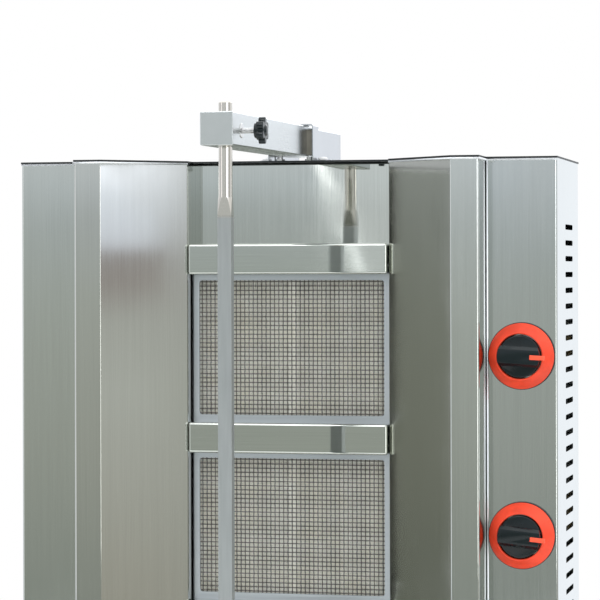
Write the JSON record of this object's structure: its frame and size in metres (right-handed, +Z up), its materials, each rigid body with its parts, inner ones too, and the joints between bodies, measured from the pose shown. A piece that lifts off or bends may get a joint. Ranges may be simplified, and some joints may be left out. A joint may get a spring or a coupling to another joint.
{
  "type": "gas doner kebab grill",
  "caption": "Counter-top gas doner kebab grill: ceramic radiant burners between angled reflector wings, a driven vertical spit on a sliding carriage, a roof arm and a grease drawer.",
  "frame": {"origin": "centre of the footprint, level with the counter under the feet", "axes": "+X to the right as seen from the front, -Y to the front, +Z up"},
  "size_m": [0.5244, 0.58, 0.8609],
  "materials": {
    "casing_steel": "brushed",
    "side_steel": "brushed",
    "reflector_steel": "heat-dulled, brushed",
    "burner_steel": "satin",
    "mesh_wire": "woven wire",
    "ceramic": "perforated, matt",
    "pipe_steel": "drawn",
    "valve_brass": "turned",
    "knob_black": "glossy",
    "signal_red": "satin",
    "spit_steel": "ground bar",
    "arm_steel": "brushed",
    "screw_steel": "bright",
    "nylon_black": "moulded",
    "foot_rubber": "moulded",
    "cast_aluminium": "cast",
    "motor_paint": "enamel",
    "drawer_steel": "brushed"
  },
  "bodies": {
    "casing": {"base_pan": "casing_steel", "base_front": "casing_steel", "base_deck": "casing_steel", "rear_panel": "casing_steel", "roof_panel": "casing_steel", "fascia_panels": "casing_steel", "left_column": "casing_steel", "right_column": "side_steel", "left_wing": "reflector_steel", "right_wing": "reflector_steel", "deflector_strips": "reflector_steel", "burner_frames": "burner_steel", "burner_boxes": "burner_steel", "burner_posts": "burner_steel", "burner_meshes": "mesh_wire", "ceramic_tiles": "ceramic", "mixing_tubes": "pipe_steel", "gas_pipes": "pipe_steel", "gas_manifold": "pipe_steel", "carriage_rails": "pipe_steel", "drawer_runners": "pipe_steel", "gas_injectors": "valve_brass", "gas_valves": "valve_brass", "gas_inlet": "valve_brass", "knob_bezels": "signal_red", "arm_collar": "arm_steel", "arm_rails": "arm_steel", "casing_screws": "screw_steel", "level_screws": "screw_steel", "switch_body": "nylon_black", "cord_gland": "nylon_black", "rubber_feet": "foot_rubber", "drip_pan": "drawer_steel"},
    "carriage": {"carriage_plate": "pipe_steel", "gearbox": "cast_aluminium", "motor_can": "motor_paint"},
    "drive": {"drive_shaft": "spit_steel"},
    "spit": {"spit_bar": "spit_steel", "meat_disc": "spit_steel"},
    "arm": {"arm_tube": "arm_steel", "arm_pads": "nylon_black", "clamp_insert": "screw_steel"},
    "clamp_screw": {"clamp_stud": "screw_steel"},
    "clamp_grip": {"clamp_knob": "knob_black"},
    "drawer": {"drawer_box": "drawer_steel", "drawer_front": "casing_steel", "drawer_handle": "screw_steel"},
    "rocker": {"switch_rocker": "knob_black"},
    "plunger_1": {"valve_plunger_1": "valve_brass"},
    "knob_1": {"valve_spindle_1": "valve_brass", "knob_1": "knob_black", "pointer_1": "signal_red"},
    "plunger_2": {"valve_plunger_2": "valve_brass"},
    "knob_2": {"valve_spindle_2": "valve_brass", "knob_2": "knob_black", "pointer_2": "signal_red"},
    "plunger_3": {"valve_plunger_3": "valve_brass"},
    "knob_3": {"valve_spindle_3": "valve_brass", "knob_3": "knob_black", "pointer_3": "signal_red"}
  },
  "joints": [
    {"name": "carriage_slide", "type": "slide", "parent": "casing", "child": "carriage", "axis": [0, 1, 0], "range_m": [0, 0.075]},
    {"name": "arm_slide", "type": "slide", "parent": "casing", "child": "arm", "axis": [0, 1, 0.0078], "range_m": [0, 0.075]},
    {"name": "spit_spin", "type": "hinge", "parent": "carriage", "child": "drive", "pos_m": [0, -0.0955, 0.15], "axis": [0, 0, 1], "continuous": true},
    {"name": "spit_lift", "type": "slide", "parent": "drive", "child": "spit", "axis": [0, 0, 1], "range_m": [0, 0.04]},
    {"name": "clamp_advance", "type": "slide", "parent": "arm", "child": "clamp_screw", "axis": [1, 0, 0], "range_m": [0, 0.0032]},
    {"name": "clamp_turn", "type": "hinge", "parent": "clamp_screw", "child": "clamp_grip", "pos_m": [0.03, -0.0956, 0.83582], "axis": [1, 0, 0], "range_deg": [0, 1440]},
    {"name": "drawer_slide", "type": "slide", "parent": "casing", "child": "drawer", "axis": [0, -1, 0], "range_m": [0, 0.3]},
    {"name": "switch_rock", "type": "hinge", "parent": "casing", "child": "rocker", "pos_m": [0.218, -0.254, 0.12], "axis": [-1, 0, 0], "range_deg": [0, 16]},
    {"name": "knob_1_push", "type": "slide", "parent": "casing", "child": "plunger_1", "axis": [0, 1, 0], "range_m": [0, 0.004], "stiffness_N_per_m": 1200, "springref_m": -0.004},
    {"name": "knob_1_turn", "type": "hinge", "parent": "plunger_1", "child": "knob_1", "pos_m": [0.226, 0.1, 0.6362], "axis": [0, -1, 0], "range_deg": [0, 180]},
    {"name": "knob_2_push", "type": "slide", "parent": "casing", "child": "plunger_2", "axis": [0, 1, 0], "range_m": [0, 0.004], "stiffness_N_per_m": 1200, "springref_m": -0.004},
    {"name": "knob_2_turn", "type": "hinge", "parent": "plunger_2", "child": "knob_2", "pos_m": [0.226, 0.1, 0.4712], "axis": [0, -1, 0], "range_deg": [0, 180]},
    {"name": "knob_3_push", "type": "slide", "parent": "casing", "child": "plunger_3", "axis": [0, 1, 0], "range_m": [0, 0.004], "stiffness_N_per_m": 1200, "springref_m": -0.004},
    {"name": "knob_3_turn", "type": "hinge", "parent": "plunger_3", "child": "knob_3", "pos_m": [0.226, 0.1, 0.3062], "axis": [0, -1, 0], "range_deg": [0, 180]}
  ],
  "couplings": [
    {"joint": "arm_slide", "follows": "carriage_slide", "ratio": 1},
    {"joint": "clamp_turn", "follows": "clamp_advance", "rad_per_m": 7854}
  ]
}
